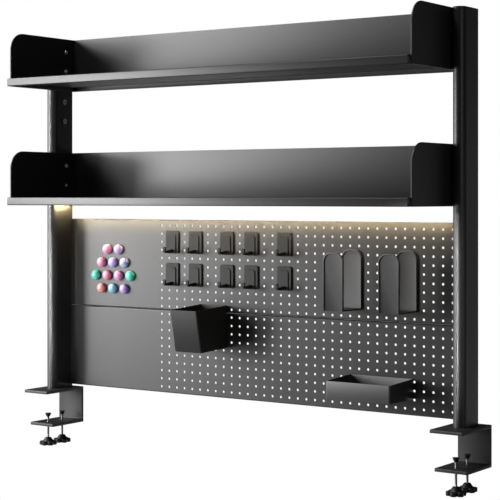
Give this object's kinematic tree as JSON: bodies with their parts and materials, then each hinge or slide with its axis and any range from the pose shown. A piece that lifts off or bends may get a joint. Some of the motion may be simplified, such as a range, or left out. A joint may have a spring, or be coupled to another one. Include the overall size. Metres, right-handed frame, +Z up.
{
  "type": "pegboard desk shelf",
  "caption": "Clamp-on desk shelf: steel uprights carry bolted shelf trays above a perforated back board with peg hooks, holders, a pen cup, a tray, magnets and a light bar.",
  "frame": {"origin": "on the desk top at its rear edge, midway between the two clamps", "axes": "+X to the viewer's right along the shelves, +Y away from the viewer, +Z up"},
  "size_m": [1.242, 0.265, 1.042],
  "materials": {
    "black_steel": "matte black powder coat",
    "black_plastic": "satin black moulded plastic",
    "pad_rubber": "matte black rubber",
    "screw_steel": "bright zinc-plated steel",
    "channel_aluminium": "plain extruded aluminium",
    "lamp_strip": "white strip with warm lamps",
    "diffuser": "milky translucent plastic",
    "magnet_pink": "glossy plastic dome",
    "magnet_lilac": "glossy plastic dome",
    "magnet_lavender": "glossy plastic dome",
    "magnet_periwinkle": "glossy plastic dome",
    "magnet_mint": "glossy plastic dome",
    "magnet_salmon": "glossy plastic dome",
    "magnet_orchid": "glossy plastic dome",
    "magnet_coral": "glossy plastic dome",
    "magnet_sky": "glossy plastic dome",
    "magnet_violet": "glossy plastic dome"
  },
  "bodies": {
    "frame": {"left_clamp_bracket": "black_steel", "left_upright": "black_steel", "right_clamp_bracket": "black_steel", "right_upright": "black_steel", "lower_shelf_tray": "black_steel", "lower_shelf_back": "black_steel", "lower_shelf_left_end": "black_steel", "lower_shelf_right_end": "black_steel", "upper_shelf_tray": "black_steel", "upper_shelf_back": "black_steel", "upper_shelf_left_end": "black_steel", "upper_shelf_right_end": "black_steel", "upper_pegboard": "black_steel", "lower_pegboard": "black_steel", "upright_caps": "black_plastic", "upright_inserts": "screw_steel", "shelf_screws": "screw_steel", "frame_screws": "screw_steel", "light_channel": "channel_aluminium", "light_strip": "lamp_strip", "light_diffuser": "diffuser", "light_end_caps": "black_plastic"},
    "left_front_pad": {"left_front_clamp_pad": "pad_rubber"},
    "left_front_screw": {"left_front_clamp_spindle": "screw_steel", "left_front_clamp_knob": "black_plastic"},
    "left_rear_pad": {"left_rear_clamp_pad": "pad_rubber"},
    "left_rear_screw": {"left_rear_clamp_spindle": "screw_steel", "left_rear_clamp_knob": "black_plastic"},
    "right_front_pad": {"right_front_clamp_pad": "pad_rubber"},
    "right_front_screw": {"right_front_clamp_spindle": "screw_steel", "right_front_clamp_knob": "black_plastic"},
    "right_rear_pad": {"right_rear_clamp_pad": "pad_rubber"},
    "right_rear_screw": {"right_rear_clamp_spindle": "screw_steel", "right_rear_clamp_knob": "black_plastic"},
    "hook_1": {"hook_1": "black_plastic"},
    "hook_2": {"hook_2": "black_plastic"},
    "hook_3": {"hook_3": "black_plastic"},
    "hook_4": {"hook_4": "black_plastic"},
    "hook_5": {"hook_5": "black_plastic"},
    "hook_6": {"hook_6": "black_plastic"},
    "hook_7": {"hook_7": "black_plastic"},
    "hook_8": {"hook_8": "black_plastic"},
    "hook_9": {"hook_9": "black_plastic"},
    "hook_10": {"hook_10": "black_plastic"},
    "left_holder": {"left_holder": "black_plastic"},
    "right_holder": {"right_holder": "black_plastic"},
    "pen_cup": {"pen_cup": "black_plastic"},
    "small_tray": {"small_tray": "black_plastic"},
    "magnet_1": {"magnet_1": "magnet_pink"},
    "magnet_2": {"magnet_2": "magnet_lilac"},
    "magnet_3": {"magnet_3": "magnet_pink"},
    "magnet_4": {"magnet_4": "magnet_lavender"},
    "magnet_5": {"magnet_5": "magnet_periwinkle"},
    "magnet_6": {"magnet_6": "magnet_mint"},
    "magnet_7": {"magnet_7": "magnet_salmon"},
    "magnet_8": {"magnet_8": "magnet_orchid"},
    "magnet_9": {"magnet_9": "magnet_mint"},
    "magnet_10": {"magnet_10": "magnet_coral"},
    "magnet_11": {"magnet_11": "magnet_sky"},
    "magnet_12": {"magnet_12": "magnet_violet"}
  },
  "joints": [
    {"name": "left_front_press", "type": "slide", "parent": "frame", "child": "left_front_pad", "axis": [0, 0, 1], "range_m": [-0.013, 0.031]},
    {"name": "left_front_turn", "type": "hinge", "parent": "left_front_pad", "child": "left_front_screw", "pos_m": [-0.582, -0.085, -0.1], "axis": [0, 0, 1], "range_deg": [-4680, 11160]},
    {"name": "left_rear_press", "type": "slide", "parent": "frame", "child": "left_rear_pad", "axis": [0, 0, 1], "range_m": [-0.013, 0.031]},
    {"name": "left_rear_turn", "type": "hinge", "parent": "left_rear_pad", "child": "left_rear_screw", "pos_m": [-0.582, -0.032, -0.1], "axis": [0, 0, 1], "range_deg": [-4680, 11160]},
    {"name": "right_front_press", "type": "slide", "parent": "frame", "child": "right_front_pad", "axis": [0, 0, 1], "range_m": [-0.013, 0.031]},
    {"name": "right_front_turn", "type": "hinge", "parent": "right_front_pad", "child": "right_front_screw", "pos_m": [0.582, -0.085, -0.1], "axis": [0, 0, 1], "range_deg": [-4680, 11160]},
    {"name": "right_rear_press", "type": "slide", "parent": "frame", "child": "right_rear_pad", "axis": [0, 0, 1], "range_m": [-0.013, 0.031]},
    {"name": "right_rear_turn", "type": "hinge", "parent": "right_rear_pad", "child": "right_rear_screw", "pos_m": [0.582, -0.032, -0.1], "axis": [0, 0, 1], "range_deg": [-4680, 11160]},
    {"name": "hook_1_pull_off", "type": "slide", "parent": "frame", "child": "hook_1", "axis": [0, -1, 0], "range_m": [0, 0.08]},
    {"name": "hook_2_pull_off", "type": "slide", "parent": "frame", "child": "hook_2", "axis": [0, -1, 0], "range_m": [0, 0.08]},
    {"name": "hook_3_pull_off", "type": "slide", "parent": "frame", "child": "hook_3", "axis": [0, -1, 0], "range_m": [0, 0.08]},
    {"name": "hook_4_pull_off", "type": "slide", "parent": "frame", "child": "hook_4", "axis": [0, -1, 0], "range_m": [0, 0.08]},
    {"name": "hook_5_pull_off", "type": "slide", "parent": "frame", "child": "hook_5", "axis": [0, -1, 0], "range_m": [0, 0.08]},
    {"name": "hook_6_pull_off", "type": "slide", "parent": "frame", "child": "hook_6", "axis": [0, -1, 0], "range_m": [0, 0.08]},
    {"name": "hook_7_pull_off", "type": "slide", "parent": "frame", "child": "hook_7", "axis": [0, -1, 0], "range_m": [0, 0.08]},
    {"name": "hook_8_pull_off", "type": "slide", "parent": "frame", "child": "hook_8", "axis": [0, -1, 0], "range_m": [0, 0.08]},
    {"name": "hook_9_pull_off", "type": "slide", "parent": "frame", "child": "hook_9", "axis": [0, -1, 0], "range_m": [0, 0.08]},
    {"name": "hook_10_pull_off", "type": "slide", "parent": "frame", "child": "hook_10", "axis": [0, -1, 0], "range_m": [0, 0.08]},
    {"name": "left_holder_pull_off", "type": "slide", "parent": "frame", "child": "left_holder", "axis": [0, -1, 0], "range_m": [0, 0.12]},
    {"name": "right_holder_pull_off", "type": "slide", "parent": "frame", "child": "right_holder", "axis": [0, -1, 0], "range_m": [0, 0.12]},
    {"name": "pen_cup_pull_off", "type": "slide", "parent": "frame", "child": "pen_cup", "axis": [0, -1, 0], "range_m": [0, 0.12]},
    {"name": "small_tray_pull_off", "type": "slide", "parent": "frame", "child": "small_tray", "axis": [0, -1, 0], "range_m": [0, 0.12]},
    {"name": "magnet_1_pull_off", "type": "slide", "parent": "frame", "child": "magnet_1", "axis": [0, -1, 0], "range_m": [0, 0.05]},
    {"name": "magnet_2_pull_off", "type": "slide", "parent": "frame", "child": "magnet_2", "axis": [0, -1, 0], "range_m": [0, 0.05]},
    {"name": "magnet_3_pull_off", "type": "slide", "parent": "frame", "child": "magnet_3", "axis": [0, -1, 0], "range_m": [0, 0.05]},
    {"name": "magnet_4_pull_off", "type": "slide", "parent": "frame", "child": "magnet_4", "axis": [0, -1, 0], "range_m": [0, 0.05]},
    {"name": "magnet_5_pull_off", "type": "slide", "parent": "frame", "child": "magnet_5", "axis": [0, -1, 0], "range_m": [0, 0.05]},
    {"name": "magnet_6_pull_off", "type": "slide", "parent": "frame", "child": "magnet_6", "axis": [0, -1, 0], "range_m": [0, 0.05]},
    {"name": "magnet_7_pull_off", "type": "slide", "parent": "frame", "child": "magnet_7", "axis": [0, -1, 0], "range_m": [0, 0.05]},
    {"name": "magnet_8_pull_off", "type": "slide", "parent": "frame", "child": "magnet_8", "axis": [0, -1, 0], "range_m": [0, 0.05]},
    {"name": "magnet_9_pull_off", "type": "slide", "parent": "frame", "child": "magnet_9", "axis": [0, -1, 0], "range_m": [0, 0.05]},
    {"name": "magnet_10_pull_off", "type": "slide", "parent": "frame", "child": "magnet_10", "axis": [0, -1, 0], "range_m": [0, 0.05]},
    {"name": "magnet_11_pull_off", "type": "slide", "parent": "frame", "child": "magnet_11", "axis": [0, -1, 0], "range_m": [0, 0.05]},
    {"name": "magnet_12_pull_off", "type": "slide", "parent": "frame", "child": "magnet_12", "axis": [0, -1, 0], "range_m": [0, 0.05]}
  ],
  "couplings": [
    {"joint": "left_front_press", "follows": "left_front_turn", "m_per_rad": 0.00015915},
    {"joint": "left_rear_press", "follows": "left_rear_turn", "m_per_rad": 0.00015915},
    {"joint": "right_front_press", "follows": "right_front_turn", "m_per_rad": 0.00015915},
    {"joint": "right_rear_press", "follows": "right_rear_turn", "m_per_rad": 0.00015915}
  ]
}
